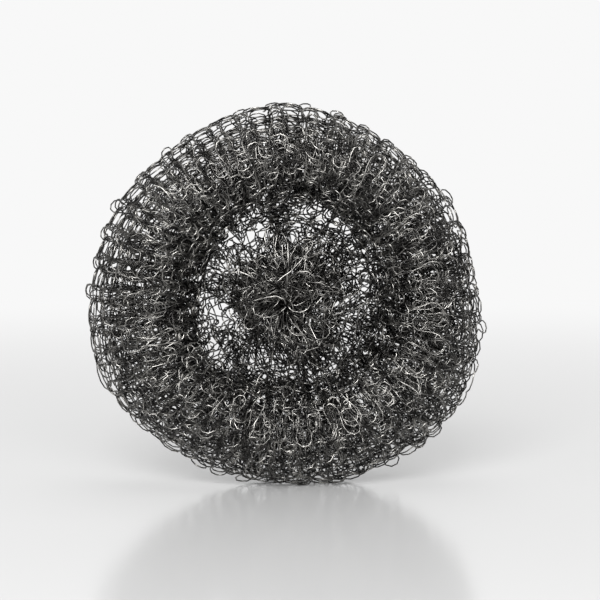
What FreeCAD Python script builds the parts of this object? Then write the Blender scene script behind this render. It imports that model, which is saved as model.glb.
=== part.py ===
"""Knitted wire pot scrubber, standing on its edge, as a parametric document.

A tube knitted from one springy wire is rolled up like a sock into a ring. Its other end
crosses the hole of the ring, where it is gathered into a neck and tied with wire, and
the slack of the gathered knit puffs out in front of the neck.
The ring stands on its rim: its axis lies along Y, its front looks along -Y and Z is up.
"""
import FreeCAD, Part
import math
import os

import Sketcher
from FreeCAD import Vector

# Driving dimensions in millimetres, and counts
SIZES = [
    ("pad_diameter", 90.0, "across the rim, over the wales"),
    ("pad_thickness", 25.0, "from face to face, over the wales"),
    ("knit_thickness", 1.0, "one layer of the knitted tube"),
    ("turn_gap", 1.2, "clear space between two turns of the roll"),
    ("core_radius_least", 2.0, "the roll is wound on until its core is about this tight"),
    ("core_clearance", 0.3, "between the core of the roll and the turn around it"),
    ("wale_count", 38, "columns of stitches around the tube"),
    ("wale_width", 2.4, "one wale, where its loops interlock"),
    ("wale_height", 0.6, "how far a wale stands out of the knit"),
    ("wale_root", 0.25, "how deep a wale is rooted in the knit"),
    ("rim_band", 9.0, "close knit round the rim, between the openings of the front and the back"),
    ("ladder_opening", 4.0, "opening of the knit between two wales, along the wales"),
    ("rung_width", 1.1, "arcs of wire between one opening and the next"),
    ("ladder_steps_front", 4, "openings between two wales on the front"),
    ("ladder_steps_back", 3, "openings between two wales on the back"),
    ("foot_depth", 1.1, "how much the rim is flattened where it stands"),
    ("skirt_bend", 4.5, "radius of the bend from the roll in to the middle"),
    ("centre_rise", 3.0, "how far the gathered middle comes forward"),
    ("pleat_count", 19, "pleats that take up the slack of the middle"),
    ("pleat_depth_edge", 0.5, "pleats where they leave the bend"),
    ("pleat_depth_neck", 1.3, "pleats where they are drawn together"),
    ("gather_thickness", 2.0, "knit bunched up beside the neck"),
    ("gather_radius", 1.2, "where the pleats run out, near the axis"),
    ("puff_depth", 9.0, "the slack that puffs out in front of the neck, from back to front"),
    ("puff_clearance", 2.4, "between the puff and the wales around it"),
    ("puff_stem_diameter", 12.0, "where the puff is drawn in behind"),
    ("puff_dimple", 2.6, "how deep the front of the puff is drawn in at its middle"),
    ("puff_pleat_depth", 0.8, "pleats on the front of the puff, where it is drawn in"),
    ("puff_pleat_fade", 0.2, "the same pleats where they run out"),
    ("puff_pleat_root", 0.3, "how deep the pleats are rooted in the puff"),
    ("puff_pleat_margin", 1.0, "from the end of the pleats to the round edge of the puff"),
    ("neck_diameter", 7.0, "the gathered end inside its tie"),
    ("tie_wire_diameter", 0.7, "wire of the tie"),
    ("tie_pitch", 1.25, "from one turn of the tie to the next"),
    ("tie_turns", 2.5, "turns of the tie"),
    ("tie_clearance", 0.15, "between the tie and the knit that it holds"),
    ("tuft_diameter", 16.0, "the ruffle that stands out behind the tie"),
    ("tuft_length", 2.4, "how far the ruffle leans back"),
    ("tuft_edge", 0.8, "thickness of the ruffle at its edge"),
    ("tuft_pleat_depth", 0.9, "pleats of the ruffle at its edge"),
]

document = FreeCAD.newDocument("pot_scrubber")
sheet = document.addObject("Spreadsheet::Sheet", "sizes")
for row, (alias, size, meaning) in enumerate(SIZES, start=1):
    sheet.set(f"A{row}", meaning)
    sheet.set(f"B{row}", str(size))
    sheet.setAlias(f"B{row}", alias)
document.recompute()

# The roll's section is a spiral of half circles in the plane of X, outwards, and Y, backwards
PITCH = "(sizes.knit_thickness + sizes.turn_gap)"
CREST = f"((sizes.pad_thickness + {PITCH} / 2) / 2)"
FRONT = f"({CREST} - sizes.wale_height)"
ROLL_CENTRE = f"(sizes.pad_diameter / 2 - {CREST})"
BACK_CENTRE = f"({ROLL_CENTRE} + {PITCH} / 2)"
SPLIT = f"({PITCH} / 4)"
HOLE = f"({ROLL_CENTRE} - {FRONT})"
LIFT = "(sizes.pad_diameter / 2 - sizes.foot_depth)"

# The gathered middle, from the bend of the skirt to the neck and the tie behind it
BEND_CENTRE = f"({HOLE} - sizes.skirt_bend)"
EDGE_RADIUS = f"({BEND_CENTRE} + sizes.knit_thickness)"
EDGE_FRONT = f"({SPLIT} + sizes.skirt_bend)"
EDGE_BACK = f"({EDGE_FRONT} + sizes.knit_thickness)"
GATHER_FRONT = f"({EDGE_FRONT} - sizes.centre_rise)"
GATHER_BACK = f"({GATHER_FRONT} + sizes.gather_thickness)"
PUFF_BACK = f"({GATHER_FRONT} + sizes.gather_thickness / 5)"
PUFF_SEAT = f"({GATHER_FRONT} + sizes.gather_thickness * 0.7)"
PUFF_FRONT = f"({PUFF_BACK} - sizes.puff_depth)"
PUFF_MIDDLE = f"({PUFF_BACK} - sizes.puff_depth / 2)"
PUFF_EDGE = f"({HOLE} - sizes.wale_height - sizes.puff_clearance - sizes.puff_depth / 2)"
TIE_RADIUS = "(sizes.neck_diameter / 2 + sizes.tie_clearance + sizes.tie_wire_diameter / 2)"
TIE_REACH = f"(({TIE_RADIUS} + sizes.tie_wire_diameter / 2 - sizes.gather_radius)" \
            f" / ({EDGE_RADIUS} - sizes.gather_radius))"
TIE_SEAT = f"({GATHER_BACK} + ({EDGE_BACK} - {GATHER_BACK}) * {TIE_REACH})"
TIE_START = f"({TIE_SEAT} + sizes.tie_clearance + sizes.tie_wire_diameter / 2)"
TIE_LENGTH = "(sizes.tie_turns * sizes.tie_pitch + sizes.tie_wire_diameter)"
NECK_END = f"({TIE_SEAT} + {TIE_LENGTH} + 2 * sizes.tie_clearance)"

ORIGIN = (-1, 1)
START, END, CENTRE = 1, 2, 3
UP = Vector(0, 0, 1)


def number(expression):
    """Value of an expression over the sheet's cells."""
    return float(sheet.evalExpression(expression))


def new_body(label):
    """Empty body at the height where the rim stands on the ground."""
    body = document.addObject("PartDesign::Body", label)
    body.Label = label
    body.setExpression("Placement.Base.z", LIFT)
    return body


def origin_feature(body, role):
    """Plane or axis of a body's own origin."""
    return next(item for item in body.Origin.OriginFeatures if item.Role == role)


def new_sketch(body, name, role, offset=None):
    """Sketch on an origin plane of its body, moved along the plane's normal by an expression."""
    sketch = body.newObject("Sketcher::SketchObject", name)
    sketch.AttachmentSupport = (origin_feature(body, role), [""])
    sketch.MapMode = "FlatFace"
    if offset:
        sketch.setExpression("AttachmentOffset.Base.z", offset)
    return sketch


def drive(sketch, name, expression, kind, *references):
    """Dimension of a sketch, named and bound to the sheet."""
    index = sketch.addConstraint(Sketcher.Constraint(kind, *references, number(expression)))
    sketch.renameConstraint(index, name)
    sketch.setExpression(f"Constraints.{name}", expression)


def tie_ends(sketch, pairs):
    """Make each pair of edge ends one point."""
    for first, second in pairs:
        sketch.addConstraint(Sketcher.Constraint("Coincident", *first, *second))


def level(sketch, pairs):
    """Make each pair of points lie on one horizontal line of the sketch."""
    for first, second in pairs:
        sketch.addConstraint(Sketcher.Constraint("Horizontal", *first, *second))


def arc(centre, radius, start_degrees, end_degrees):
    """Arc of a circle, counter-clockwise."""
    circle = Part.Circle(Vector(*centre, 0), UP, radius)
    return Part.ArcOfCircle(circle, math.radians(start_degrees), math.radians(end_degrees))


def line(start, end):
    """Straight edge between two points of a sketch."""
    return Part.LineSegment(Vector(*start, 0), Vector(*end, 0))


def polygon(sketch, corners):
    """Closed outline, added to a sketch, whose corners are pairs of expressions."""
    points = [(number(across), number(along)) for across, along in corners]
    first = sketch.GeometryCount
    edges = range(first, first + len(points))
    for start, end in zip(points, points[1:] + points[:1]):
        sketch.addGeometry(line(start, end))
    tie_ends(sketch, [((edge, END), (edge + 1, START)) for edge in edges[:-1]])
    tie_ends(sketch, [((edges[-1], END), (first, START))])
    for edge, (across, along) in zip(edges, corners):
        drive(sketch, f"across_{edge}", across, "DistanceX", *ORIGIN, edge, START)
        drive(sketch, f"along_{edge}", along, "DistanceY", *ORIGIN, edge, START)


def half_circles(sketch, front_radius):
    """Outer path of one turn: half a circle round the front, then half a smaller one back."""
    roll_centre, back_centre, split = number(ROLL_CENTRE), number(BACK_CENTRE), number(SPLIT)
    radius, half_pitch = number(front_radius), number(PITCH) / 2
    sketch.addGeometry(arc((roll_centre, split), radius, 180, 360))
    sketch.addGeometry(arc((back_centre, split), radius - half_pitch, 0, 180))
    tie_ends(sketch, [((0, END), (1, START))])
    level(sketch, [((0, START), (0, CENTRE)), ((0, END), (0, CENTRE)), ((1, END), (1, CENTRE))])
    drive(sketch, "roll_centre", ROLL_CENTRE, "DistanceX", *ORIGIN, 0, CENTRE)
    drive(sketch, "front_split", SPLIT, "DistanceY", *ORIGIN, 0, CENTRE)
    drive(sketch, "back_centre", BACK_CENTRE, "DistanceX", *ORIGIN, 1, CENTRE)
    drive(sketch, "front_radius", front_radius, "Radius", 0)
    sketch.addConstraint(Sketcher.Constraint("Horizontal", 0, CENTRE, 1, CENTRE))


def revolve(body, sketch, name):
    """Turn a sketch once about the axis of the ring."""
    revolution = body.newObject("PartDesign::Revolution", name)
    revolution.Profile = sketch
    revolution.ReferenceAxis = (sketch, ["V_Axis"])
    revolution.Angle = 360
    revolution.Refine = False
    return revolution


def repeat_round(body, feature, count, name):
    """Repeat a feature about the axis of the ring."""
    pattern = body.newObject("PartDesign::PolarPattern", name)
    pattern.Originals = [feature]
    pattern.Axis = (origin_feature(body, "Y_Axis"), [""])
    pattern.Angle = 360
    pattern.Refine = False
    pattern.setExpression("Occurrences", count)
    body.Tip = pattern


def roll_turn(label, turn):
    """One turn of the rolled tube, counted from the outside: a spiral strip turned into a ring."""
    body = new_body(label)
    sketch = new_sketch(body, f"{label}_section", "XY_Plane")
    front_radius = f"({FRONT} - {turn} * {PITCH})"
    half_circles(sketch, front_radius)
    roll_centre, back_centre, split = number(ROLL_CENTRE), number(BACK_CENTRE), number(SPLIT)
    knit, radius = number("sizes.knit_thickness"), number(front_radius)
    back_inside = radius - number(PITCH) / 2 - knit
    seam_start = back_centre - back_inside - knit
    sketch.addGeometry(line((seam_start, split), (seam_start + knit, split)))
    sketch.addGeometry(arc((back_centre, split), back_inside, 0, 180))
    sketch.addGeometry(arc((roll_centre, split), radius - knit, 180, 360))
    sketch.addGeometry(line((roll_centre - radius, split), (roll_centre - radius + knit, split)))
    tie_ends(sketch, [
        ((1, END), (2, START)), ((2, END), (3, END)), ((3, CENTRE), (1, CENTRE)),
        ((3, START), (4, END)), ((4, CENTRE), (0, CENTRE)),
        ((0, START), (5, START)), ((4, START), (5, END)),
    ])
    level(sketch, [((2, START), (2, END)), ((3, START), (3, CENTRE)), ((4, START), (4, CENTRE))])
    drive(sketch, "knit_thickness", "sizes.knit_thickness", "DistanceX", 2, START, 2, END)
    revolve(body, sketch, f"{label}_ring")
    return body


def open_ladders(body):
    """Slots round the front and the back of a turn, which the wales divide into ladders of openings."""
    sketch = new_sketch(body, "ladder_openings", "XY_Plane")
    front = (ROLL_CENTRE, FRONT, -1, "sizes.ladder_steps_front")
    back = (BACK_CENTRE, f"({FRONT} - {PITCH} / 2)", 1, "sizes.ladder_steps_back")
    for centre, radius, side, steps in (front, back):
        outside, inside = f"({radius} + sizes.knit_thickness)", f"({radius} - 2 * sizes.knit_thickness)"
        for step in range(int(number(steps))):
            near = f"(sizes.rim_band / 2 + {step} * (sizes.ladder_opening + sizes.rung_width))"
            far = f"({near} + sizes.ladder_opening)"
            corners = []
            for place, reach in ((near, outside), (far, outside), (far, inside), (near, inside)):
                angle = f"({place} / {radius} * 180 / pi)"
                corners.append((
                    f"({centre} + {reach} * cos({angle}))",
                    f"({SPLIT} + {side} * {reach} * sin({angle}))",
                ))
            polygon(sketch, corners)
    ladders = body.newObject("PartDesign::Groove", "ladders")
    ladders.Profile = sketch
    ladders.ReferenceAxis = (sketch, ["V_Axis"])
    ladders.Angle = 360
    ladders.Refine = False


def add_wales(body):
    """Raise the columns of interlocked loops along the outside of the outer turn."""
    path = new_sketch(body, "wale_path", "XY_Plane")
    half_circles(path, FRONT)
    root, crest = f"({HOLE} + sizes.wale_root)", f"({HOLE} - sizes.wale_height)"
    section = new_sketch(body, "wale_section", "XZ_Plane", f"-{SPLIT}")
    root_x, crest_x, half_width = number(root), number(crest), number("sizes.wale_width") / 2
    sides = [Vector(root_x, -half_width, 0), Vector(root_x, half_width, 0)]
    section.addGeometry(Part.Arc(sides[0], Vector(crest_x, 0, 0), sides[1]))
    section.addGeometry(Part.LineSegment(sides[1], sides[0]))
    bulge_start = START if (section.getPoint(0, START) - sides[0]).Length < half_width else END
    bulge_end = END if bulge_start == START else START
    tie_ends(section, [((0, bulge_end), (1, START)), ((0, bulge_start), (1, END))])
    section.addConstraint(Sketcher.Constraint("Symmetric", 1, START, 1, END, -1))
    rise = "(sizes.wale_height + sizes.wale_root)"
    bulge = f"((sizes.wale_width * sizes.wale_width / 4 + {rise} * {rise}) / (2 * {rise}))"
    drive(section, "wale_width", "sizes.wale_width", "DistanceY", 1, END, 1, START)
    drive(section, "wale_root", root, "DistanceX", *ORIGIN, 1, START)
    drive(section, "wale_bulge", bulge, "Radius", 0)
    wale = body.newObject("PartDesign::AdditivePipe", "wale")
    wale.Profile = section
    wale.Spine = (path, ["Edge1", "Edge2"])
    wale.Refine = False
    repeat_round(body, wale, "sizes.wale_count", "wales")


def flatten_foot(body):
    """Cut the rim flat where it stands."""
    foot = body.newObject("PartDesign::SubtractiveBox", "foot")
    foot.Refine = False
    foot.setExpression("Length", "sizes.pad_diameter")
    foot.setExpression("Width", "2 * sizes.pad_thickness")
    foot.setExpression("Height", "sizes.foot_depth * 2")
    foot.setExpression("Placement.Base.x", "-sizes.pad_diameter / 2")
    foot.setExpression("Placement.Base.y", "-sizes.pad_thickness")
    foot.setExpression("Placement.Base.z", "-sizes.pad_diameter / 2 - sizes.foot_depth")


def rolled_core(label, turn_total):
    """Free end of the tube, rolled tight in the middle of the section."""
    body = new_body(label)
    sketch = new_sketch(body, f"{label}_section", "XY_Plane")
    last_back = f"({FRONT} - {turn_total - 1} * {PITCH} - {PITCH} / 2)"
    radius = f"({last_back} - sizes.knit_thickness - sizes.core_clearance)"
    sketch.addGeometry(Part.Circle(Vector(number(BACK_CENTRE), number(SPLIT), 0), UP, number(radius)))
    drive(sketch, "back_centre", BACK_CENTRE, "DistanceX", *ORIGIN, 0, CENTRE)
    drive(sketch, "split", SPLIT, "DistanceY", *ORIGIN, 0, CENTRE)
    drive(sketch, "core_radius", radius, "Radius", 0)
    revolve(body, sketch, f"{label}_ring")
    return body


def pleat_section(body, name, radius, front, thickness, depth):
    """Chevron across one pleat, in a plane square to the pleat."""
    sketch = new_sketch(body, name, "YZ_Plane", radius)
    side = f"({radius} * tan(180 / sizes.pleat_count))"
    polygon(sketch, [
        (front, f"-{side}"),
        (f"({front} - {depth})", "0"),
        (front, side),
        (f"({front} + {thickness})", side),
        (f"({front} + {thickness} - {depth})", "0"),
        (f"({front} + {thickness})", f"-{side}"),
    ])
    return sketch


def pleats(body, name, inner, outer):
    """Fan of pleats about the axis, each lofted from its inner to its outer section."""
    loft = body.newObject("PartDesign::AdditiveLoft", f"{name}_pleat")
    loft.Profile = pleat_section(body, f"{name}_inner", *inner)
    loft.Sections = [pleat_section(body, f"{name}_outer", *outer)]
    loft.Ruled = True
    loft.Refine = False
    document.recompute()
    repeat_round(body, loft, "sizes.pleat_count", f"{name}_pleats")


def add_disc(body, name, radius, start, end):
    """Solid bundle of wire on the axis."""
    sketch = new_sketch(body, f"{name}_section", "XY_Plane")
    polygon(sketch, [("0", start), (radius, start), (radius, end), ("0", end)])
    revolve(body, sketch, name)


def gathered_centre(label):
    """Knit that bends in from the roll, crosses the hole in pleats and closes in a neck."""
    body = new_body(label)
    pleats(
        body, "gather",
        ("sizes.gather_radius", GATHER_FRONT, "sizes.gather_thickness", "sizes.pleat_depth_neck"),
        (EDGE_RADIUS, EDGE_FRONT, "sizes.knit_thickness", "sizes.pleat_depth_edge"),
    )
    sketch = new_sketch(body, "skirt_section", "XY_Plane")
    centre = (number(BEND_CENTRE), number(SPLIT))
    inside, knit = number("sizes.skirt_bend"), number("sizes.knit_thickness")
    outside = inside + knit
    sketch.addGeometry(arc(centre, inside, 0, 90))
    sketch.addGeometry(arc(centre, outside, 0, 90))
    sketch.addGeometry(line((centre[0] + inside, centre[1]), (centre[0] + outside, centre[1])))
    sketch.addGeometry(line((centre[0], centre[1] + inside), (centre[0], centre[1] + outside)))
    tie_ends(sketch, [
        ((0, START), (2, START)), ((1, START), (2, END)), ((0, END), (3, START)),
        ((1, END), (3, END)), ((0, CENTRE), (1, CENTRE)),
    ])
    level(sketch, [((0, START), (0, CENTRE)), ((1, START), (1, CENTRE))])
    for bend in (0, 1):
        sketch.addConstraint(Sketcher.Constraint("Vertical", bend, END, bend, CENTRE))
    drive(sketch, "bend_centre", BEND_CENTRE, "DistanceX", *ORIGIN, 0, CENTRE)
    drive(sketch, "split", SPLIT, "DistanceY", *ORIGIN, 0, CENTRE)
    drive(sketch, "bend_inside", "sizes.skirt_bend", "Radius", 0)
    drive(sketch, "bend_outside", "(sizes.skirt_bend + sizes.knit_thickness)", "Radius", 1)
    revolve(body, sketch, "skirt")
    neck = "(sizes.neck_diameter / 2)"
    add_disc(body, "neck", neck, f"({GATHER_FRONT} + sizes.gather_thickness / 2)", NECK_END)
    add_puff(body)
    return body


def add_puff(body):
    """Slack of the gathered knit: a round cushion with a drawn-in middle and pleats across its front."""
    sketch = new_sketch(body, "puff_section", "XY_Plane")
    edge, middle, rim = number(PUFF_EDGE), number(PUFF_MIDDLE), number("sizes.puff_depth / 2")
    dimple = f"({PUFF_FRONT} + sizes.puff_dimple)"
    front, back = number(PUFF_FRONT), number(PUFF_BACK)
    sketch.addGeometry(line((0, back), (0, number(dimple))))
    sketch.addGeometry(line((0, number(dimple)), (edge, front)))
    sketch.addGeometry(arc((edge, middle), rim, -90, 90))
    sketch.addGeometry(line((edge, back), (0, back)))
    tie_ends(sketch, [
        ((0, END), (1, START)), ((1, END), (2, START)), ((2, END), (3, START)), ((3, END), (0, START)),
    ])
    for bend_end in (START, END):
        sketch.addConstraint(Sketcher.Constraint("Vertical", 2, bend_end, 2, CENTRE))
    level(sketch, [((3, START), (3, END))])
    drive(sketch, "puff_edge", PUFF_EDGE, "DistanceX", *ORIGIN, 2, CENTRE)
    drive(sketch, "puff_middle", PUFF_MIDDLE, "DistanceY", *ORIGIN, 2, CENTRE)
    drive(sketch, "puff_rim", "sizes.puff_depth / 2", "Radius", 2)
    drive(sketch, "axis_back", "0", "DistanceX", *ORIGIN, 0, START)
    drive(sketch, "axis_front", "0", "DistanceX", *ORIGIN, 0, END)
    drive(sketch, "puff_dimple", dimple, "DistanceY", *ORIGIN, 0, END)
    revolve(body, sketch, "puff")
    add_disc(body, "puff_stem", "(sizes.puff_stem_diameter / 2)", PUFF_MIDDLE, PUFF_SEAT)
    pleat_end = f"({PUFF_EDGE} - sizes.puff_pleat_margin)"
    ends = (("sizes.gather_radius", "sizes.puff_pleat_depth"), (pleat_end, "sizes.puff_pleat_fade"))
    sections = []
    for radius, depth in ends:
        surface = f"({PUFF_FRONT} + sizes.puff_dimple * (1 - {radius} / {PUFF_EDGE}))"
        root = f"({surface} + sizes.puff_pleat_root)"
        sections.append((radius, root, "sizes.gather_thickness", f"({depth} + sizes.puff_pleat_root)"))
    pleats(body, "puff", *sections)


def gathered_tuft(label):
    """End of the tube beyond the tie, standing out as a ruffle."""
    body = new_body(label)
    pleats(
        body, "tuft",
        ("sizes.gather_radius", f"({NECK_END} + sizes.pleat_depth_neck)",
         "sizes.gather_thickness", "sizes.pleat_depth_neck"),
        ("(sizes.tuft_diameter / 2)", f"({NECK_END} + sizes.tuft_length)",
         "sizes.tuft_edge", "sizes.tuft_pleat_depth"),
    )
    neck = "(sizes.neck_diameter / 2)"
    add_disc(body, "tuft_root", neck, NECK_END, f"({NECK_END} + sizes.gather_thickness)")
    return body


def tie_wire(label):
    """Wire wound round the neck as one unbroken helix."""
    body = new_body(label)
    sketch = new_sketch(body, "tie_section", "XY_Plane")
    centre = Vector(number(TIE_RADIUS), number(TIE_START), 0)
    sketch.addGeometry(Part.Circle(centre, UP, number("sizes.tie_wire_diameter / 2")))
    drive(sketch, "tie_radius", TIE_RADIUS, "DistanceX", *ORIGIN, 0, CENTRE)
    drive(sketch, "tie_start", TIE_START, "DistanceY", *ORIGIN, 0, CENTRE)
    drive(sketch, "wire_diameter", "sizes.tie_wire_diameter", "Diameter", 0)
    helix = body.newObject("PartDesign::AdditiveHelix", "tie")
    helix.Profile = sketch
    helix.ReferenceAxis = (sketch, ["V_Axis"])
    helix.Mode = "pitch-turns-angle"
    helix.setExpression("Pitch", "sizes.tie_pitch")
    helix.setExpression("Turns", "sizes.tie_turns")
    return body


def tie_gap():
    """Least gap of the tie to itself, measured on points along its middle line."""
    radius, pitch = number(TIE_RADIUS), number("sizes.tie_pitch")
    steps = 72
    points = []
    for step in range(int(steps * number("sizes.tie_turns")) + 1):
        angle = 2 * math.pi * step / steps
        points.append(Vector(radius * math.cos(angle), pitch * step / steps, radius * math.sin(angle)))
    apart = [
        (first - second).Length
        for place, first in enumerate(points)
        for second in points[place + steps // 2:]
    ]
    return min(apart) - number("sizes.tie_wire_diameter")


# Build every piece
first_back = f"({FRONT} - {PITCH} / 2 - sizes.knit_thickness)"
room = number(f"({first_back} - sizes.core_clearance - sizes.core_radius_least)")
turn_total = int(room / number(PITCH)) + 1
outer_turn = roll_turn("outer_turn", 0)
open_ladders(outer_turn)
add_wales(outer_turn)
flatten_foot(outer_turn)
pieces = [outer_turn]
for turn in range(1, turn_total):
    pieces.append(roll_turn(f"inner_turn_{turn + 1}", turn))
pieces.append(rolled_core("rolled_core", turn_total))
pieces.append(gathered_centre("gathered_centre"))
pieces.append(gathered_tuft("gathered_tuft"))
pieces.append(tie_wire("tie_wire"))
document.recompute()

# Stop if anything failed, then write one file for each piece
for item in document.Objects:
    if "Invalid" in item.State or "Error" in item.State:
        raise RuntimeError(f"{item.Name} could not be built: {item.State}")
for piece in pieces:
    if piece.Shape.isNull() or not piece.Shape.isValid() or len(piece.Shape.Solids) != 1:
        raise RuntimeError(f"{piece.Label} is not one valid solid")

os.makedirs("parts", exist_ok=True)
for piece in pieces:
    piece.Shape.exportStep(f"parts/{piece.Label}.step")
    box = piece.Shape.optimalBoundingBox()
    print(f"{piece.Label}: {piece.Shape.Volume / 1000:.2f} cm3, {box.XLength:.2f} x {box.YLength:.2f} x "
          f"{box.ZLength:.2f} mm")
print(f"turns of the roll: {turn_total}")
print(f"least gap of the tie to itself: {tie_gap():.2f} mm")
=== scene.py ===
# %% [markdown]
# # A pot scrubber knitted from wire
#
# The scrubber is one thin galvanised wire, knitted into a tube of about forty columns of stitches. The tube is
# rolled up like a sock into a ring, and its other end is gathered across the hole and tied shut behind it.
# A picture of knitting on a smooth ring would fall apart at the rim, where every single loop shows against the
# light. So this lesson knits the wire itself: a formula walks along the wire, stitch by stitch, and a thin tube
# of mesh is drawn around that walk.

# %% Load the frame
import math
from types import SimpleNamespace

import bpy
import numpy as np
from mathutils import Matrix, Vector


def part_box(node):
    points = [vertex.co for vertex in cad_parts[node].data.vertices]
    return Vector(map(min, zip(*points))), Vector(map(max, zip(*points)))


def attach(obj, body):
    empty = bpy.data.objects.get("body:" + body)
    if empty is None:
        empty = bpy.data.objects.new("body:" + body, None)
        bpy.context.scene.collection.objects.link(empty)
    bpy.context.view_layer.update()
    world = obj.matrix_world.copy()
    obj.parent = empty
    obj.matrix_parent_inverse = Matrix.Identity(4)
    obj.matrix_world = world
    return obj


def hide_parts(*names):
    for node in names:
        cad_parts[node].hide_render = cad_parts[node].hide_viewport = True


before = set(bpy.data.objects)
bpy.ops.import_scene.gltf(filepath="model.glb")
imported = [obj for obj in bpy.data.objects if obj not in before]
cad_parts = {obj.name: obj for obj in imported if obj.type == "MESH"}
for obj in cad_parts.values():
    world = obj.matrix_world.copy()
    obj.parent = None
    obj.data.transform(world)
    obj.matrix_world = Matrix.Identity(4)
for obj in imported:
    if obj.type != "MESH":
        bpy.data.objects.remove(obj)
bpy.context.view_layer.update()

# %% [markdown]
# ## The ring and its place
#
# All shapes below are worked out in millimetres about the middle of the ring, and only the last step turns them
# into Blender's metres. The ring stands on its rim, so its axis lies along Y and its front looks along -Y. The
# overall sizes are read from the frame. The layer of knit and the gap between two turns of the roll are the ones
# that the frame was built with.

# %% Sizes of the ring
MM = 0.001
ring_low, ring_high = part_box("outer_turn")
PAD_DIAMETER = (ring_high.x - ring_low.x) / MM
PAD_THICKNESS = (ring_high.y - ring_low.y) / MM
FOOT_DEPTH = 1.1
MIDDLE = np.array([0.0, 0.0, PAD_DIAMETER / 2 - FOOT_DEPTH])
TURN_PITCH = 2.2
TURN_COUNT = 4
CREST_RADIUS = (PAD_THICKNESS + TURN_PITCH / 2) / 2
ROLL_CENTRE = PAD_DIAMETER / 2 - CREST_RADIUS
SPLIT = TURN_PITCH / 4
print(f"ring {PAD_DIAMETER:.1f} mm across, {PAD_THICKNESS:.1f} mm thick, roll centre at {ROLL_CENTRE:.2f} mm")

# %% [markdown]
# ## The camera
#
# The camera comes first, because it decides how much of each side is seen. A long lens from nearly square in
# front keeps the ring round. It stands a little to the left and a little above the middle, so the hole shows
# slightly more of its right and lower wall.

# %% Camera
CAMERA_AZIMUTH = -4.0
CAMERA_ELEVATION = 4.0
LENS = 100.0
SENSOR = 36.0
FRAME_WIDTH = 137.5
AIM = Vector((2.6, 0.0, 42.2)) * MM

camera_data = bpy.data.cameras.new("camera")
camera_data.lens = LENS
camera_data.sensor_width = SENSOR
camera = bpy.data.objects.new("camera", camera_data)
bpy.context.scene.collection.objects.link(camera)
bpy.context.scene.camera = camera
azimuth, elevation = math.radians(CAMERA_AZIMUTH), math.radians(CAMERA_ELEVATION)
towards = Vector((math.sin(azimuth) * math.cos(elevation), -math.cos(azimuth) * math.cos(elevation),
                  math.sin(elevation)))
distance = FRAME_WIDTH * MM * LENS / SENSOR
camera.location = AIM + towards * distance
camera.rotation_euler = (-towards).to_track_quat("-Z", "Y").to_euler()
print(f"camera {distance:.3f} m away")

# %% [markdown]
# ## The path of the knit
#
# Cut the ring across and look at the section: the knit is a single line. It starts as a ruffle behind the tie and
# runs forward through the neck. In front of the neck the slack opens into a puff like a rosette, which folds back
# behind itself, bends forward into the ring and then winds inwards, turn inside turn. Half circles about two centres
# make such a spiral with an even gap between its turns, because the radius drops by half a pitch each time. The line
# is sampled finely and measured, so that stitches can later be placed along it by distance.

# %% Corners of the section
KNIT_DEPTH = 0.65
MID_RADIUS = CREST_RADIUS - KNIT_DEPTH
HOLE_RADIUS = ROLL_CENTRE - MID_RADIUS
BEND_RADIUS = 4.6
CORE_HALF_TURNS = 3
ARC_STEP = math.radians(1.5)
# Distance from the axis and place along it: ruffle and neck, front of the puff, fold behind it
RUFFLE_AND_NECK = [(7.4, 11.2), (5.6, 10.6), (3.8, 9.8), (2.0, 8.8), (1.3, 7.4), (1.2, 5.0), (1.0, 2.4), (0.8, -1.0)]
PUFF = [(1.0, -4.2), (4.0, -6.0), (8.6, -6.8), (12.0, -6.4), (15.0, -4.6), (16.6, -1.6)]
FOLD = [(16.0, 1.0), (13.4, 2.2), (10.4, 2.2), (8.2, 2.8), (7.6, 4.2), (9.2, 5.4), (12.0, 5.5)]


def circle_points(centre, radius, start, end):
    """Points on an arc of the section, between two angles given in half turns."""
    angles = math.pi * np.linspace(start, end, int(abs(end - start) * math.pi / ARC_STEP))
    return np.column_stack([centre + radius * np.cos(angles), SPLIT + radius * np.sin(angles)])


stretches = [np.array(RUFFLE_AND_NECK + PUFF + FOLD), circle_points(HOLE_RADIUS - BEND_RADIUS, BEND_RADIUS, 0.5, 0)]
for half_turn in range(2 * TURN_COUNT + CORE_HALF_TURNS):
    centre = ROLL_CENTRE + (half_turn % 2) * TURN_PITCH / 2
    start = 1 + half_turn % 2
    stretches.append(circle_points(centre, MID_RADIUS - half_turn * TURN_PITCH / 2, start, start + 1))
corners = np.concatenate(stretches)
print(f"{len(corners)} corners, hole {2 * HOLE_RADIUS:.1f} mm across")

# %% Smooth path with its distances
PATH_STEP = 0.1
SMOOTHING = 7
# Corners between which the puff is folded
FOLD_CORNERS = [8, 12, 14, 17]
corner_marks = np.concatenate([[0.0], np.cumsum(np.linalg.norm(np.diff(corners, axis=0), axis=1))])
half_turn_marks = corner_marks[np.cumsum([len(stretch) for stretch in stretches])[1:] - 1]
RING_MARK = half_turn_marks[0]
FOLD_MARKS = corner_marks[FOLD_CORNERS]

marks = np.arange(0, corner_marks[-1], PATH_STEP)
path = np.column_stack([np.interp(marks, corner_marks, corners[:, axis]) for axis in (0, 1)])
padded = np.pad(path, ((SMOOTHING, SMOOTHING), (0, 0)), mode="edge")
window = np.ones(2 * SMOOTHING + 1) / (2 * SMOOTHING + 1)
path = np.column_stack([np.convolve(padded[:, axis], window, mode="valid") for axis in (0, 1)])
tangent = np.gradient(path, axis=0)
tangent /= np.linalg.norm(tangent, axis=1)[:, None]
outward = np.column_stack([tangent[:, 1], -tangent[:, 0]])
print(f"the knit is {marks[-1]:.0f} mm long, {RING_MARK:.0f} mm of it before the ring")

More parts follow.
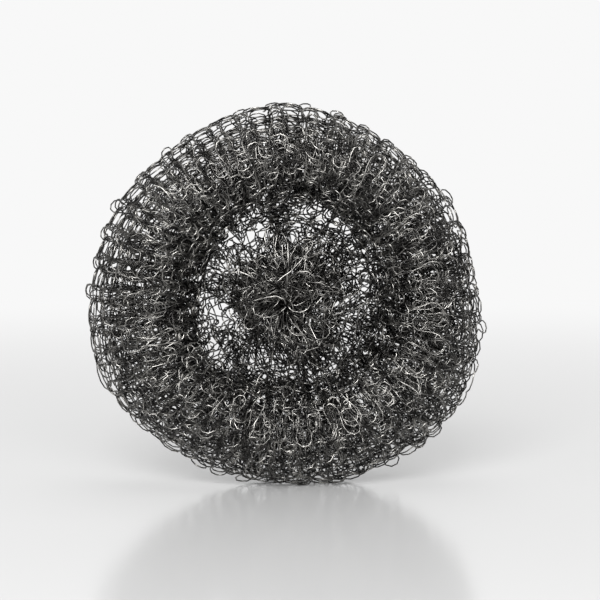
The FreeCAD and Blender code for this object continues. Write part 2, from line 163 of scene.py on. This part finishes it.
# %% [markdown]
# ## Courses of stitches
#
# A circular machine knits one long helix, and each time round is a course. The columns of stitches are the wales, and
# their number never changes. Courses could be spread evenly along the path, but the ring shows that they are not: they
# lie closer at the hole than at the rim, where bending stretches them, and wider where the knit is loose inside the
# roll. So the distance between courses is a table along the path, and adding up its inverse counts the courses.

# %% Courses along the path
WALE_COUNT = 38
COURSE_PITCH_AT_HOLE = 1.5
COURSE_PITCH_AT_RIM = 2.1
INNER_COURSE_PITCHES = [1.8, 2.3, 3.4]
GATHER_COURSE_PITCH = 2.4
GATHER_END = RING_MARK - 6
course_pitch = np.interp(path[:, 0], [HOLE_RADIUS, ROLL_CENTRE], [COURSE_PITCH_AT_HOLE, COURSE_PITCH_AT_RIM])
course_pitch[marks < GATHER_END] = GATHER_COURSE_PITCH
inside = marks > half_turn_marks[2]
course_pitch[inside] = np.interp(marks[inside], half_turn_marks[[3, 5, 7]], INNER_COURSE_PITCHES)
course_at = np.cumsum(PATH_STEP / course_pitch)
stitch_total = int(WALE_COUNT * course_at[-1])
print(f"{course_at[-1]:.0f} courses, {stitch_total} stitches")

# %% [markdown]
# ## Uneven stitches
#
# No two loops of springy wire lie alike, and handling pulls whole patches of the knit askew. Random numbers with a
# fixed seed give every half stitch its own place, every loop its small curls, and pull a few loops right out of the
# knit. A cubic spline leads from one number to the next, because wire bends but never kinks. Two slow noises move
# neighbouring stitches together. They repeat around the tube, so the knit closes without a seam.

# %% Noise along the wire
SEED = 11
# Few degrees of freedom make wild values more common than in a bell curve
FREEDOM = 3
WILDEST = 4.0
PULLED_SHARE = 0.04
CURLS_PER_STITCH = 3
SPARE = 8

dice = np.random.default_rng(SEED)
half_stitches = np.clip(dice.standard_t(FREEDOM, size=(2 * stitch_total + SPARE, 3)), -WILDEST, WILDEST)
pulled_stitches = dice.normal(size=(stitch_total + SPARE, 3))
pulled_stitches *= dice.random((stitch_total + SPARE, 1)) < PULLED_SHARE
pulled_stitches[:, 1] = np.abs(pulled_stitches[:, 1])
curls = dice.normal(size=(CURLS_PER_STITCH * (stitch_total + SPARE), 3))
print(f"{np.count_nonzero(pulled_stitches[:, 1])} loops are pulled out of the knit")


def between(values, step):
    """Values at whole steps, led from one to the next along a cubic spline, which has no kinks."""
    below = step.astype(int)
    part = (step - below)[:, None]
    weights = [(1 - part) ** 3, 3 * part ** 3 - 6 * part ** 2 + 4,
               3 * (part + part ** 2 - part ** 3) + 1, part ** 3]
    return sum(weight * values[below + ahead] for ahead, weight in enumerate(weights)) / 6


# %% Noise over the tube
def ease(part):
    """Slow start and slow end between 0 and 1."""
    return (part * part * (3 - 2 * part))[:, None]


def smooth_noise(seed, courses_per_cell, wales_per_cell):
    """Three slowly changing random values over the tube, as a function of course and wale."""
    rows = int(course_at[-1] / courses_per_cell) + 3
    columns = round(WALE_COUNT / wales_per_cell)
    grid = np.random.default_rng(seed).normal(size=(rows, columns, 3))
    print(f"noise of {rows} x {columns} cells")

    def sample(course, wale):
        row = np.clip(course / courses_per_cell, 0, rows - 2)
        column = (wale * columns / WALE_COUNT) % columns
        below, left = row.astype(int), column.astype(int)
        right = (left + 1) % columns
        across, up = ease(column - left), ease(row - below)
        lower = grid[below, left] * (1 - across) + grid[below, right] * across
        upper = grid[below + 1, left] * (1 - across) + grid[below + 1, right] * across
        return lower * (1 - up) + upper * up

    return sample


wander = smooth_noise(seed=3, courses_per_cell=9.0, wales_per_cell=3.0)
tangle = smooth_noise(seed=4, courses_per_cell=2.5, wales_per_cell=1.0)

# %% [markdown]
# ## Sag
#
# The knit is soft, so the ring sags under its own weight: it is wider below the middle and flat where it stands. A
# soft-body simulation could find such a shape, but a few slow waves around the ring describe it more simply, and they
# can be adjusted one by one. The gathered middle hangs a little lower than the ring's own middle. At the floor an
# exponential takes over from the straight line, so that the loops are pressed together and never cut off.

# %% Outline and foot
WIRE_DIAMETER = 0.31
# Waves around the ring, their height as a share of the radius, and the angle of their first crest
OUTLINE_WAVES = [(1, 0.034, -109.0), (2, 0.017, -32.0), (3, 0.021, -109.0), (6, 0.006, 178.0)]
OUTLINE_SCALE = 0.985
STILL_RADIUS = HOLE_RADIUS / 2
FULLEST_REACH = 1.2
FLOOR_SOFTNESS = 0.9
NAVEL_RADIUS = 5.0
NAVEL_SHIFT = np.array([-1.2, 0.0, -2.2])


def sag(points):
    """Stretch the ring to its sagging outline, let the gathered middle hang and press the foot flat."""
    angle = np.arctan2(points[:, 2], points[:, 0])
    radius = np.hypot(points[:, 0], points[:, 2])
    stretch = np.full(len(points), OUTLINE_SCALE - 1)
    for waves, share, crest in OUTLINE_WAVES:
        stretch += share * np.cos(waves * angle - math.radians(crest))
    reach = np.clip((radius - STILL_RADIUS) / (ROLL_CENTRE - STILL_RADIUS), 0, FULLEST_REACH)
    scale = 1 + stretch * reach
    hang = ease(np.clip((HOLE_RADIUS - radius) / (HOLE_RADIUS - NAVEL_RADIUS), 0, 1))
    moved = points * np.column_stack([scale, np.ones(len(points)), scale]) + hang * NAVEL_SHIFT + MIDDLE
    above = moved[:, 2] - WIRE_DIAMETER / 2
    pressed = np.where(above < FLOOR_SOFTNESS, FLOOR_SOFTNESS * np.exp(above / FLOOR_SOFTNESS - 1), above)
    moved[:, 2] = pressed + WIRE_DIAMETER / 2
    return moved


rim_top = sag(np.array([[0.0, 0.0, PAD_DIAMETER / 2]]))[0, 2]
print(f"the top of the rim sags to {rim_top:.1f} mm above the floor")

# %% [markdown]
# ## Where the knit changes
#
# The same stitch looks different from place to place. Far out the wales stand apart, with ladders of thin arcs
# between them. Towards the hole they crowd together, but every stitch keeps its length of wire, so the loops swell
# into dark clumps. At the upper left the knit is still neat, at the lower right it is jumbled, and in the middle it
# is gathered into a tangle, with pleats below. Each place could have a formula of its own, but seams would show where
# they meet. So one function works out how much of each place a point has, from 0 to 1, and the rest is blended.

# %% Zones of the knit
NEAT_SIDE = math.radians(135)
SAGGING_SIDE = math.radians(-35)
GATHER_FADE = [RING_MARK - 8, RING_MARK + 4]
# Distances from the axis over which the clumps fade out and the rim begins
CLUMP_EDGE = [41.5, 46]
CLUMP_DROOP = 2.0
RIM_EDGE = [38, 42.5]


def zones_of(phase, angle, rest, rest_radius):
    """Share of each zone in points, from their place in the stitch, round the ring, on the path and off the axis."""
    gathered = np.interp(rest, GATHER_FADE, [1, 0])
    inner = np.interp(rest, half_turn_marks[[2, 3]], [0, 1])
    low = np.clip(-np.sin(angle), 0, 1) ** 2
    crowded = np.interp(rest_radius - CLUMP_DROOP * low, CLUMP_EDGE, [1, 0])
    return SimpleNamespace(
        loop=0.5 + 0.5 * np.cos(phase), mess=0.5 - 0.5 * np.cos(angle - NEAT_SIDE), gathered=gathered,
        clump=np.maximum(inner, crowded) * (1 - gathered), pleated=gathered * low,
        rim=np.interp(rest_radius, RIM_EDGE, [0, 1]), sagging=np.clip(np.cos(angle - SAGGING_SIDE), 0, 1) ** 2)


print(f"gathered up to {GATHER_FADE[0]:.0f} mm along the path, rim from {RIM_EDGE[0]} mm off the axis")

# %% [markdown]
# ## Strays
#
# Now the noises are mixed for each zone. The slow ones bend whole wales, the fast ones bend single loops, and the
# curls work on the loops alone, since the arcs between two wales are pulled straight. The same amount of noise
# everywhere would look like fur, but loose knit moves more than neat knit. So most amounts are pairs, for the neat
# side and for the messy side of the ring.

# %% Moves of the wire
# Millimetres along the path, off the layer and across it
FAR_MOVES = np.array([0.7, 0.5, 0.9])
NEAR_MOVES = np.array([0.35, 0.35, 0.4])
OWN_MOVES = np.array([0.55, 0.55, 0.65])
PULLED_MOVES = np.array([2.8, 3.0, 2.8])
CURL_MOVES = np.array([0.4, 0.4, 0.6])
# Amounts on the neat and on the messy side, or outside and inside a clump
LOOSE_SIDES = (0.55, 1.02)
OWN_SIDES = (0.68, 1.2)
PULLED_SIDES = (0.3, 1.0)
CURL_CLUMPS = (0.2, 1.0)
# Amounts at distances from the axis
LOOSE_AT = ([8, 20, 32], [0.9, 0.8, 0.0])
PULLED_AT = ([34, 42], [1.0, 0.5])
OFF_AT = ([20, 26, 36, 42], [1.8, 1.2, 1.0, 0.7])
GATHERED_OWN = 1.5
CLUMP_OWN = 0.3
ARC_CALM = 0.4


def mixed(pair, share):
    """From the first amount of a pair to the second."""
    return pair[0] + (pair[1] - pair[0]) * share


def stray_moves(stitch, rest_radius, zone):
    """How far each point strays along the path, off the layer and across it."""
    course = stitch / WALE_COUNT
    loose = mixed(LOOSE_SIDES, zone.mess) + np.interp(rest_radius, *LOOSE_AT)
    own = mixed(OWN_SIDES, zone.mess) + GATHERED_OWN * zone.gathered + CLUMP_OWN * zone.clump * zone.loop
    own *= 1 - ARC_CALM * (1 - zone.mess) * (1 - zone.gathered) * (1 - zone.loop)
    curled = zone.loop * mixed(CURL_CLUMPS, zone.clump)
    pulled = np.interp(rest_radius, *PULLED_AT) * mixed(PULLED_SIDES, zone.mess)
    move = loose[:, None] * (FAR_MOVES * wander(course, stitch) + NEAR_MOVES * tangle(course, stitch))
    move += own[:, None] * OWN_MOVES * between(half_stitches, 2 * stitch)
    move += curled[:, None] * CURL_MOVES * between(curls, CURLS_PER_STITCH * stitch)
    move += pulled[:, None] * PULLED_MOVES * between(pulled_stitches, stitch)
    move[:, 1] *= np.interp(rest_radius, *OFF_AT)
    move[:, 2] *= 1 + zone.gathered
    return move


print(f"a pulled loop stands about {PULLED_MOVES[1]:.0f} mm off the layer")

# %% [markdown]
# ## Gaps in the gathered middle
#
# Here and there the gathered wires have parted and light falls through. Deleting stitches would leave loose ends, so
# the folded puff is drawn in towards the axis at these places instead, and the wires beside them are pushed apart.

# %% Gaps
# Angle and half width in degrees, and depth in millimetres
GAPS = [(134, 21, 5.0), (221, 24, 7.5), (-21, 9, 1.0), (50, 12, 6.0), (88, 9, 2.5)]
SIDE_PUSH = 0.4
PUSHED_AT = ([8, 14, HOLE_RADIUS], [0, 1, 0])


def gap_moves(angle, rest, rest_radius):
    """How far the gaps draw each point in and push it to the side."""
    drawn_in, pushed = np.zeros(len(angle)), np.zeros(len(angle))
    fold = np.interp(rest, FOLD_MARKS, [0, 1, 1, 0])
    for centre, half_width, depth in GAPS:
        turn = (angle - math.radians(centre) + math.pi) % (2 * math.pi) - math.pi
        share = turn / math.radians(half_width)
        drawn_in += depth * fold * np.exp(-share ** 2 / 2)
        pushed += depth * share * np.exp(0.5 - share ** 2 / 2)
    return drawn_in, SIDE_PUSH * pushed * np.interp(rest_radius, *PUSHED_AT)


print(f"{len(GAPS)} gaps, up to {max(depth for centre, half_width, depth in GAPS)} mm deep")

# %% [markdown]
# ## One stitch, and then thousands
#
# Seen from the front, a stitch is a wave: up round the head of a loop, down its leg, along the arc to the next wale.
# Copies of one modelled loop would all be alike and would tear apart where the knit stretches, but a few sine waves
# draw the whole wire in one go. Along the path a wave lifts the head and drops the arc. Across it, two set the legs
# apart and lean them, so that the head is wider than its neck. Off the layer, two more push heads and arcs to one side
# and legs to the other, so that each loop hooks through the one below. At the rim the arcs also slant a little, like
# the strands of a rope, and at the lower right they stand open.

# %% Plain stitch
LEG_SPACING = 1.9
CLUMP_LEG_SPREAD = 1.4
CLUMP_SIDES = (0.5, 1.0)
GATHER_LEG_SPREAD = 2.2
PLEAT_LEG_NARROWING = 1.6
LEG_LEAN = 0.95
GATHER_UPRIGHT = 0.6
LOOP_HEIGHT = 2.4
CLUMP_LOOP_GROWTH = 1.2
GATHER_LOOP_GROWTH = 0.5
PLEAT_LOOP_GROWTH = 1.2
HOOK_DEPTH = 0.35
HEAD_BULGE = 0.15
HOOK_SIDES = (1.0, 1.6)
ARC_SLANT = 0.28
UNEVEN_SLANT = 0.4
OPEN_ARC = 1.1
WIDEST_ARC = 1.5


def stitch_wave(phase, pitch, zone):
    """The plain stitch: its wave along the path and across it."""
    height = (LOOP_HEIGHT + CLUMP_LOOP_GROWTH * zone.clump + GATHER_LOOP_GROWTH * zone.gathered
              + PLEAT_LOOP_GROWTH * zone.pleated)
    legs = (LEG_SPACING + CLUMP_LEG_SPREAD * zone.clump * mixed(CLUMP_SIDES, zone.mess)
            + GATHER_LEG_SPREAD * zone.gathered - PLEAT_LEG_NARROWING * zone.pleated)
    lean = LEG_LEAN * (1 - GATHER_UPRIGHT * zone.gathered)
    return height * np.cos(phase), (legs / 2 - pitch / 4) * np.sin(phase) + lean * np.sin(2 * phase)


def stitch_relief(stitch, phase, zone):
    """The plain stitch: its wave off the layer, with the slanting and open arcs of the rim."""
    own_arc = between(half_stitches, 2 * stitch)[:, 2]
    off = mixed(HOOK_SIDES, zone.mess) * (HOOK_DEPTH * np.cos(2 * phase) + HEAD_BULGE * np.cos(phase))
    off -= zone.rim * ARC_SLANT * (1 + UNEVEN_SLANT * own_arc) * np.sin(phase)
    open_arc = OPEN_ARC * np.minimum(np.abs(own_arc), WIDEST_ARC) * (1 - zone.loop)
    return off + zone.rim * zone.sagging * open_arc


print(f"a plain loop is {2 * LOOP_HEIGHT} mm tall, with its legs {LEG_SPACING} mm apart")

# %% Walk of the wire
# Nearer to the axis than this, a move across the knit turns the wire no further round
NARROWEST = 3.0
# The inner turns lie loose in the roll and hang to the lower right, each a little more than the one around it
HANG_DIRECTION = np.array([0.6, 0.0, -0.8])
HANG_MARKS = half_turn_marks[[2, 4, 6, 8, 10]]
HANGS = [0.3, 0.7, 1.1, 1.5, 1.8]


def lay_wire(first_stitch, last_stitch, points_per_stitch):
    """Points of the wire between two stitches in millimetres, and the way out of the knit at each."""
    stitch = np.linspace(first_stitch, last_stitch, int((last_stitch - first_stitch) * points_per_stitch) + 1)
    phase = 2 * math.pi * stitch
    angle = phase / WALE_COUNT
    rest = np.interp(stitch / WALE_COUNT, course_at, marks)
    rest_radius = np.interp(rest, marks, path[:, 0])
    zone = zones_of(phase, angle, rest, rest_radius)
    move = stray_moves(stitch, rest_radius, zone)
    along, across = stitch_wave(phase, 2 * math.pi * rest_radius / WALE_COUNT, zone)
    drawn_in, pushed = gap_moves(angle, rest, rest_radius)
    off = stitch_relief(stitch, phase, zone) + move[:, 1]
    place = np.clip(rest + along + move[:, 0], 0, marks[-1])
    radius, depth = (np.interp(place, marks, path[:, axis]) for axis in (0, 1))
    way_radius, way_depth = (np.interp(place, marks, outward[:, axis]) for axis in (0, 1))
    radius = radius - drawn_in
    angle = angle + (across + move[:, 2] + pushed) / np.maximum(radius, NARROWEST)
    from_axis = np.abs(radius + way_radius * off)
    points = np.column_stack([from_axis * np.cos(angle), depth + way_depth * off, from_axis * np.sin(angle)])
    points += np.interp(rest, HANG_MARKS, HANGS, left=0.0)[:, None] * HANG_DIRECTION
    out = np.column_stack([way_radius * np.cos(angle), way_depth, way_radius * np.sin(angle)])
    return sag(points), out


print("hang of the inner turns in mm:", HANGS)

# %% [markdown]
# ## A tube of mesh around the wire
#
# Blender can bevel a curve into a tube, but a hundred metres of it are quicker to build straight as meshes. At each
# point a small hexagon is set square to the wire, and neighbouring hexagons are joined by quads. The direction out of
# the knit tells the hexagon which way is up, so the tube never twists. The same strip, unrolled row by row, is its
# map for painting.

# %% Map of a tube
TUBE_SIDES = 6
ROW_MARGIN = 0.1
CAP_MARGIN = ROW_MARGIN / 2
ROW_FILL = 1 - 2 * ROW_MARGIN


def strip_map(count, row_length):
    """Places on the map for the corners of a tube's quads and caps, with its strip folded into rows."""
    rows = math.ceil((count - 1) / row_length)
    segment = np.arange(count - 1)[:, None]
    here = np.arange(TUBE_SIDES)[None, :]
    left = (segment % row_length) / row_length + 0 * here
    right = left + 1 / row_length
    low = (segment // row_length + ROW_MARGIN + ROW_FILL * here / TUBE_SIDES) / rows
    high = low + ROW_FILL / TUBE_SIDES / rows
    strip = np.stack([left, low, left, high, right, high, right, low], axis=2).reshape(-1, 2)
    caps = [[0.0, CAP_MARGIN / rows]] * TUBE_SIDES + [[1.0, 1 - CAP_MARGIN / rows]] * TUBE_SIDES
    return np.concatenate([strip, caps])


print(f"the strip fills {ROW_FILL:.0%} of each row of its map")


# %% Corners and faces of a tube
def unit(vectors):
    """The same directions, each one long."""
    return vectors / np.linalg.norm(vectors, axis=1)[:, None]


def tube_vertices(points, out, radius):
    """Hexagons square to the wire, turned in millimetres and given in metres."""
    forward = unit(np.gradient(points, axis=0))
    up = unit(out - np.sum(out * forward, axis=1)[:, None] * forward)
    side = np.cross(forward, up)
    turns = 2 * math.pi * np.arange(TUBE_SIDES) / TUBE_SIDES
    ring = np.cos(turns)[None, :, None] * up[:, None, :] + np.sin(turns)[None, :, None] * side[:, None, :]
    return (points[:, None, :] + radius * ring).reshape(-1, 3) * MM


def tube_faces(count):
    """Vertices of each face in turn, the quads first and then the two caps, and where each face starts."""
    ring_start = TUBE_SIDES * np.arange(count - 1)[:, None]
    here = np.arange(TUBE_SIDES)[None, :]
    there = (here + 1) % TUBE_SIDES
    quads = np.stack([ring_start + here, ring_start + there, ring_start + TUBE_SIDES + there,
                      ring_start + TUBE_SIDES + here], axis=2).reshape(-1, 4)
    caps = [np.arange(TUBE_SIDES)[::-1], TUBE_SIDES * (count - 1) + np.arange(TUBE_SIDES)]
    starts = np.concatenate([4 * np.arange(len(quads)), quads.size + TUBE_SIDES * np.arange(2)])
    return np.concatenate([quads.ravel()] + caps), starts


print(f"{len(tube_faces(2)[1])} faces close a tube between two hexagons")


# %% Tube builder
def make_tube(name, points, out, radius, row_length):
    """Mesh tube along points in millimetres, with its strip folded into rows of a map."""
    vertices = tube_vertices(points, out, radius)
    tube_corners, starts = tube_faces(len(points))
    mesh = bpy.data.meshes.new(name)
    mesh.vertices.add(len(vertices))
    mesh.vertices.foreach_set("co", vertices.astype(np.float32).ravel())
    mesh.loops.add(len(tube_corners))
    mesh.loops.foreach_set("vertex_index", tube_corners.astype(np.int32))
    mesh.polygons.add(len(starts))
    mesh.polygons.foreach_set("loop_start", starts.astype(np.int32))
    mesh.polygons.foreach_set("use_smooth", np.ones(len(starts), bool))
    painting = mesh.uv_layers.new(name="OFBake")
    painting.data.foreach_set("uv", strip_map(len(points), row_length).astype(np.float32).ravel())
    mesh.update()
    mesh.validate()
    piece = bpy.data.objects.new(name, mesh)
    bpy.context.scene.collection.objects.link(piece)
    return piece


# %% [markdown]
# ## Knitting
#
# The wire is one piece on the real scrubber. Here it is cut where the frame's nodes meet, so that each stretch of it
# can stand in for its own node. All stretches come from the same walk, so the cuts don't show.

# %% Knit the tube, one stretch for each node of the frame
POINTS_PER_STITCH = 13
NECK_MARK = 4.6
cuts = [("knit_tuft", "gathered_tuft", 0.0, NECK_MARK), ("knit_centre", "gathered_centre", NECK_MARK, RING_MARK)]
cuts.append(("knit_outer_front", "outer_turn", half_turn_marks[0], half_turn_marks[1]))
cuts.append(("knit_outer_back", "outer_turn", half_turn_marks[1], half_turn_marks[2]))
for turn in range(2, TURN_COUNT + 1):
    begin, finish = half_turn_marks[2 * turn - 2], half_turn_marks[2 * turn]
    cuts.append((f"knit_turn_{turn}", f"inner_turn_{turn}", begin, finish))
cuts.append(("knit_core", "rolled_core", half_turn_marks[2 * TURN_COUNT], marks[-1]))

knit_pieces = []
wire_length = 0.0
for name, node, begin, finish in cuts:
    first, last = (WALE_COUNT * np.interp(mark, marks, course_at) for mark in (begin, finish))
    points, out = lay_wire(first, last, POINTS_PER_STITCH)
    piece = make_tube(name, points, out, WIRE_DIAMETER / 2, WALE_COUNT * POINTS_PER_STITCH)
    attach(piece, "root")
    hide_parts(node)
    knit_pieces.append(piece)
    length = np.sum(np.linalg.norm(np.diff(points, axis=0), axis=1)) / 1000
    wire_length += length
    print(f"{name}: {last - first:.0f} stitches of {1000 * length / (last - first):.1f} mm, "
          f"{2 * len(piece.data.polygons)} triangles")
print(f"{wire_length:.0f} m of wire")

# %% [markdown]
# ## The tie
#
# Behind the hole a softer, thicker wire is wound round the neck of the gathered knit. Blender's Screw modifier could
# wind it, but the tube builder is at hand and a helix is a short formula, so it is the same tube of mesh, led along
# a plain helix that hangs with the knit.

# %% Tie wire
TIE_WIRE_DIAMETER = 0.7
TIE_RADIUS = 4.0
TIE_PITCH = 1.25
TIE_TURNS = 2.5
TIE_POINTS = 150
TIE_ROW = 60
tie_low, tie_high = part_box("tie_wire")
tie_angle = np.linspace(0, 2 * math.pi * TIE_TURNS, TIE_POINTS)
tie_start = tie_low.y / MM + TIE_WIRE_DIAMETER / 2
tie_points = np.column_stack([TIE_RADIUS * np.cos(tie_angle), tie_start + TIE_PITCH * tie_angle / (2 * math.pi),
                              -TIE_RADIUS * np.sin(tie_angle)])
tie_out = np.column_stack([np.cos(tie_angle), 0 * tie_angle, -np.sin(tie_angle)])
tie = make_tube("tie_winding", sag(tie_points), tie_out, TIE_WIRE_DIAMETER / 2, TIE_ROW)
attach(tie, "root")
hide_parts("tie_wire")
print(f"tie from {tie_low.y / MM:.1f} to {tie_high.y / MM:.1f} mm behind the middle")

# %% [markdown]
# ## Galvanised steel wire, hot dipped and drawn
#
# The zinc on drawn wire is a dull, dark grey metal. It has no colour of its own to speak of, only a touch of warmth,
# and its brightness changes from place to place with the zinc's crystals and with rubbing. One even grey would make
# the knit look like plastic, so the grey comes from a noise and the roughness from a finer one. The real crystals and
# rub marks are too fine to show, so they are drawn as patches of a few millimetres and of about one. To the eye, light
# strands lie among dark ones, and each strand carries a soft highlight along its length. The tie is the same metal,
# annealed until it is soft, which leaves it paler and duller.

# %% Helpers for materials
def linear(code):
    """Linear colour of an sRGB hex code."""
    parts = [int(code[place:place + 2], 16) / 255 for place in (1, 3, 5)]
    return [part / 12.92 if part <= 0.04045 else ((part + 0.055) / 1.055) ** 2.4 for part in parts] + [1.0]


def add(material, kind, settings=None, links=None):
    """Add a node with its settings, given by attribute or socket name, and its incoming links."""
    node = material.node_tree.nodes.new(kind)
    for name, value in (settings or {}).items():
        if name in node.inputs:
            node.inputs[name].default_value = value
        else:
            setattr(node, name, value)
    for name, source in (links or {}).items():
        material.node_tree.links.new(source, node.inputs[name])
    return node


def new_material(name):
    """Empty node material."""
    material = bpy.data.materials.new(name)
    material.use_nodes = True
    material.node_tree.nodes.clear()
    return material


print("the middle grey #808080 in linear light:", round(linear("#808080")[0], 3))

# %% Wire materials
# Widths of the patches in millimetres, and how much they change
SPANGLE = 3.0
SPANGLE_RANGE = (0.42, 0.66)
RUB = 0.8
RUB_SPREAD = 0.08


def wire_material(name, dark, bright, roughness):
    """Dull zinc on drawn wire: grey metal, uneven in brightness and polish."""
    material = new_material(name)
    place = add(material, "ShaderNodeTexCoord")
    spangle = add(material, "ShaderNodeTexNoise", {"Scale": 1 / (SPANGLE * MM), "Detail": 2.0},
                  {"Vector": place.outputs["Object"]})
    grey = add(material, "ShaderNodeValToRGB", links={"Fac": spangle.outputs["Fac"]})
    for stop, position, colour in zip(grey.color_ramp.elements, SPANGLE_RANGE, (dark, bright)):
        stop.position = position
        stop.color = linear(colour)
    rub = add(material, "ShaderNodeTexNoise", {"Scale": 1 / (RUB * MM), "Detail": 1.0},
              {"Vector": place.outputs["Object"]})
    polish = add(material, "ShaderNodeMapRange", {"To Min": roughness - RUB_SPREAD, "To Max": roughness + RUB_SPREAD},
                 {"Value": rub.outputs["Fac"]})
    shader = add(material, "ShaderNodeBsdfPrincipled", {"Metallic": 1.0},
                 {"Base Color": grey.outputs["Color"], "Roughness": polish.outputs["Result"]})
    add(material, "ShaderNodeOutputMaterial", links={"Surface": shader.outputs["BSDF"]})
    return material


knit_wire = wire_material("galvanised_drawn_wire", dark="#363534", bright="#a09e9a", roughness=0.29)
tie_finish = wire_material("annealed_tie_wire", dark="#8b8781", bright="#b4b0a9", roughness=0.42)
for piece in knit_pieces:
    piece.data.materials.append(knit_wire)
tie.data.materials.append(tie_finish)
print("materials:", knit_wire.name, tie_finish.name)

# %% [markdown]
# ## Floor
#
# The scrubber stands on a pale, glossy sheet that runs into a white background, such as the cast acrylic that goods
# are often photographed on. Acrylic is smooth but not quite a mirror, so it gives the eye a soft shadow and a blurred
# reflection. A curved backdrop would do, but one large plane is simpler: it is acrylic near the scrubber, and fades
# into a plain glow in the colour of the background far away.

# %% Floor
# Sizes in metres
FLOOR_SIZE = 6.0
SHEET_GREY = "#cccccc"
SHEET_ROUGHNESS = 0.16
BACKGROUND = "#f8f8f8"
FADE_END = 0.6
FADE_LEAST = 0.05
floor_mesh = bpy.data.meshes.new("floor")
half = FLOOR_SIZE / 2
floor_mesh.from_pydata([(-half, -half, 0), (half, -half, 0), (half, half, 0), (-half, half, 0)], [], [(0, 1, 2, 3)])
floor = bpy.data.objects.new("floor", floor_mesh)
bpy.context.scene.collection.objects.link(floor)
print(f"floor {FLOOR_SIZE:.0f} m wide")

# %% Floor material
sheet = new_material("cast_acrylic_sheet")
spot = add(sheet, "ShaderNodeTexCoord")
apart = add(sheet, "ShaderNodeVectorMath", {"operation": "LENGTH"}, {0: spot.outputs["Object"]})
fade = add(sheet, "ShaderNodeMapRange",
           {"From Min": 0.0, "From Max": FADE_END, "To Min": FADE_LEAST, "interpolation_type": "SMOOTHSTEP"},
           {"Value": apart.outputs["Value"]})
gloss = add(sheet, "ShaderNodeBsdfPrincipled", {"Base Color": linear(SHEET_GREY), "Roughness": SHEET_ROUGHNESS})
far_white = add(sheet, "ShaderNodeEmission", {"Color": linear(BACKGROUND), "Strength": 1.0})
blend = add(sheet, "ShaderNodeMixShader",
            links={"Fac": fade.outputs["Result"], 1: gloss.outputs["BSDF"], 2: far_white.outputs["Emission"]})
add(sheet, "ShaderNodeOutputMaterial", links={"Surface": blend.outputs["Shader"]})
floor_mesh.materials.append(sheet)
print(f"{sheet.name} fades into the background over {FADE_END} m")

# %% [markdown]
# ## Light and background
#
# The world is white wherever the camera looks at it, also through something clear. For all other rays it is a white
# backdrop behind the scrubber in a dim room: metal mirrors its surroundings, so the wires show that white along their
# edges and stay dark in front, as they do in a studio. Two soft boxes stand close beside the camera, because light
# from the front draws one even highlight along each strand, where a lamp from above would break it up into sparkles.
# A third, large one above lights the floor.

# %% World
# Strength of the dim room, and how squarely behind the scrubber the backdrop begins and is at its full white
ROOM = 0.03
BACKDROP_EDGE = (0.4, 0.9)
world = bpy.data.worlds.new("white_studio")
bpy.context.scene.world = world
world.use_nodes = True
world.node_tree.nodes.clear()
rays = add(world, "ShaderNodeLightPath")
direct = add(world, "ShaderNodeMath", {"operation": "MAXIMUM"},
             {0: rays.outputs["Is Camera Ray"], 1: rays.outputs["Is Transmission Ray"]})
direction = add(world, "ShaderNodeTexCoord")
parts = add(world, "ShaderNodeSeparateXYZ", links={"Vector": direction.outputs["Generated"]})
behind = add(world, "ShaderNodeMapRange",
             {"From Min": BACKDROP_EDGE[0], "From Max": BACKDROP_EDGE[1], "To Min": ROOM, "To Max": 1.0},
             {"Value": parts.outputs["Y"]})
strength = add(world, "ShaderNodeMath", {"operation": "MAXIMUM"},
               {0: direct.outputs["Value"], 1: behind.outputs["Result"]})
sky = add(world, "ShaderNodeBackground", {"Color": linear(BACKGROUND)}, {"Strength": strength.outputs["Value"]})
add(world, "ShaderNodeOutputWorld", links={"Surface": sky.outputs["Background"]})
print("world:", world.name)

# %% Lamps
# Place and size in metres, and power in watts
LAMPS = [("left_soft_box", (-0.22, -0.82, 0.56), 0.45, 11.0), ("right_soft_box", (0.12, -0.88, 0.52), 0.45, 4.4),
         ("top_soft_box", (0.05, 0.1, 0.9), 0.7, 3.2)]
for name, place, size, power in LAMPS:
    lamp_data = bpy.data.lights.new(name, "AREA")
    lamp_data.size = size
    lamp_data.energy = power
    lamp = bpy.data.objects.new(name, lamp_data)
    lamp.location = place
    lamp.rotation_euler = (Vector(MIDDLE * MM) - Vector(place)).to_track_quat("-Z", "Y").to_euler()
    bpy.context.scene.collection.objects.link(lamp)
bpy.context.scene.view_settings.view_transform = "Standard"
print("lamps:", [name for name, place, size, power in LAMPS])
